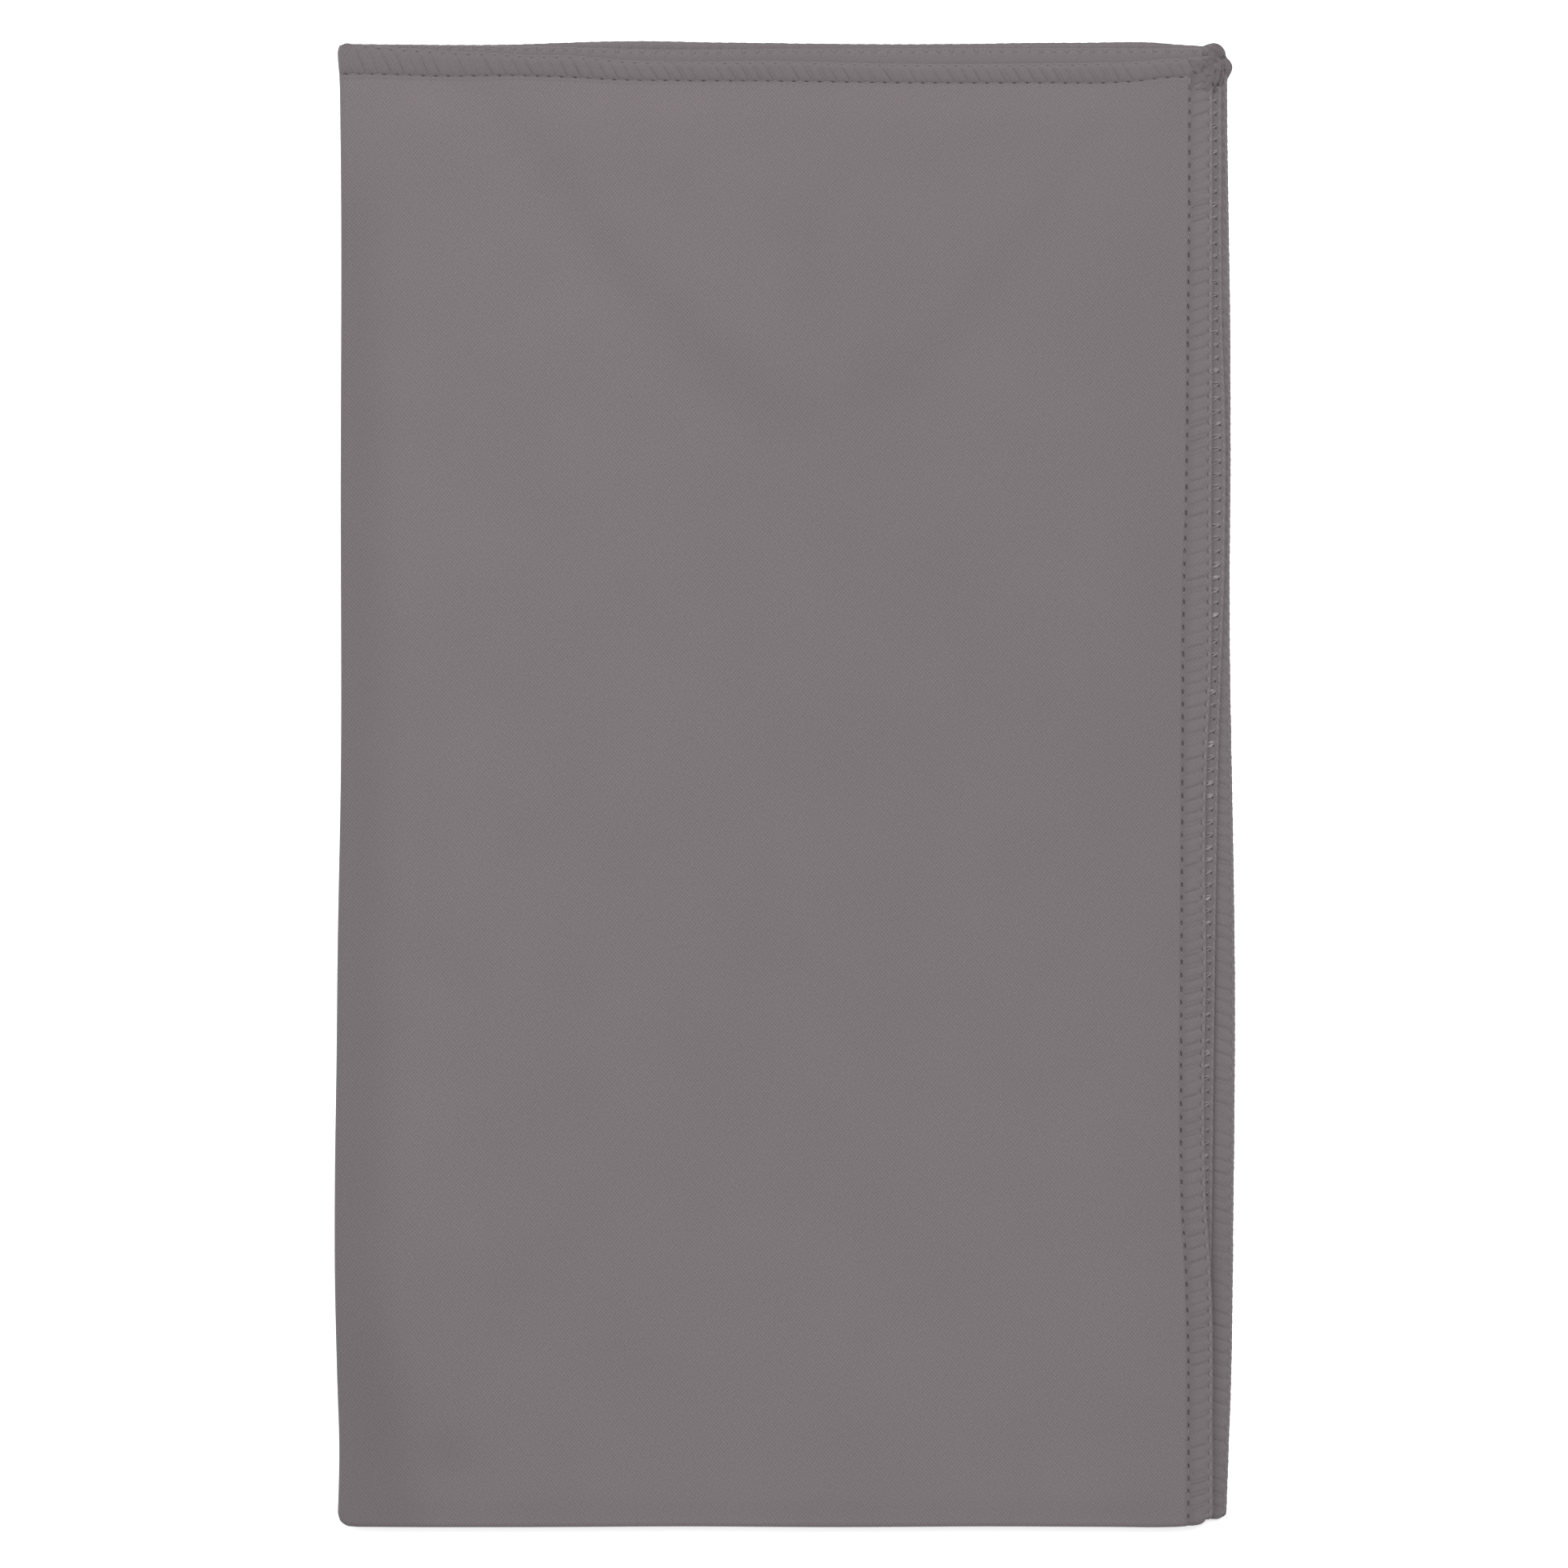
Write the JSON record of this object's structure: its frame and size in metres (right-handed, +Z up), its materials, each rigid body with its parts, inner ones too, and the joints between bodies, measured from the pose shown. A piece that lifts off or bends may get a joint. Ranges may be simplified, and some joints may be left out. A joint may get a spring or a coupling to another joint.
{
  "type": "travel towel",
  "caption": "Thin quick-dry travel towel folded in four: one hemmed grey-mauve cloth with stitched edges, which unfolds at its side and bottom folds.",
  "frame": {"origin": "middle of the footprint, on the surface the towel lies on", "axes": "+Y to the open end along the longer side, +X to the hemmed side edges away from the side fold, +Z up through the layers"},
  "size_m": [0.191, 0.3174, 0.0053],
  "materials": {
    "cloth": "fine brushed microfibre weave, matte with a soft sheen, grey with a faint mauve cast",
    "hem": "the same cloth rolled double, with slanted wrinkles at each stitch",
    "needle_thread": "fine twisted polyester thread in even stitches, sunk into the cloth",
    "looper_thread": "soft textured polyester thread laid round the edge, slightly lighter than the cloth"
  },
  "bodies": {
    "third_layer": {"third_panel": "cloth", "third_side_hem": "hem", "third_end_hem": "hem", "third_hem_corner": "hem", "third_side_needle_thread": "needle_thread", "third_end_needle_thread": "needle_thread", "third_side_looper_thread": "looper_thread", "third_end_looper_thread": "looper_thread", "inner_side_fold": "cloth", "back_bottom_fold": "cloth"},
    "second_layer": {"second_panel": "cloth", "second_side_hem": "hem", "second_end_hem": "hem", "second_hem_corner": "hem", "second_side_needle_thread": "needle_thread", "second_end_needle_thread": "needle_thread", "second_side_looper_thread": "looper_thread", "second_end_looper_thread": "looper_thread", "front_bottom_fold": "cloth"},
    "front_layer": {"front_panel": "cloth", "front_side_hem": "hem", "front_end_hem": "hem", "front_hem_corner": "hem", "front_side_needle_thread": "needle_thread", "front_end_needle_thread": "needle_thread", "front_side_looper_thread": "looper_thread", "front_end_looper_thread": "looper_thread", "outer_side_fold_front": "cloth"},
    "back_layer": {"back_panel": "cloth", "back_side_hem": "hem", "back_end_hem": "hem", "back_hem_corner": "hem", "back_side_needle_thread": "needle_thread", "back_end_needle_thread": "needle_thread", "back_side_looper_thread": "looper_thread", "back_end_looper_thread": "looper_thread", "outer_side_fold_back": "cloth"}
  },
  "joints": [
    {"name": "side_fold", "type": "hinge", "parent": "third_layer", "child": "second_layer", "pos_m": [-0.093, 0, 0.00265], "axis": [0, -1, 0], "range_deg": [0, 180], "deforming": ["inner_side_fold", "outer_side_fold_front", "outer_side_fold_back"]},
    {"name": "bottom_fold", "type": "hinge", "parent": "third_layer", "child": "back_layer", "pos_m": [0, -0.1561, 0.00125], "axis": [-1, 0, 0], "range_deg": [0, 180], "deforming": ["back_bottom_fold"]},
    {"name": "front_bottom_fold", "type": "hinge", "parent": "second_layer", "child": "front_layer", "pos_m": [0, -0.15765, 0.00405], "axis": [1, 0, 0], "range_deg": [0, 180], "deforming": ["front_bottom_fold"]}
  ],
  "couplings": [
    {"joint": "front_bottom_fold", "follows": "bottom_fold", "ratio": 1}
  ]
}
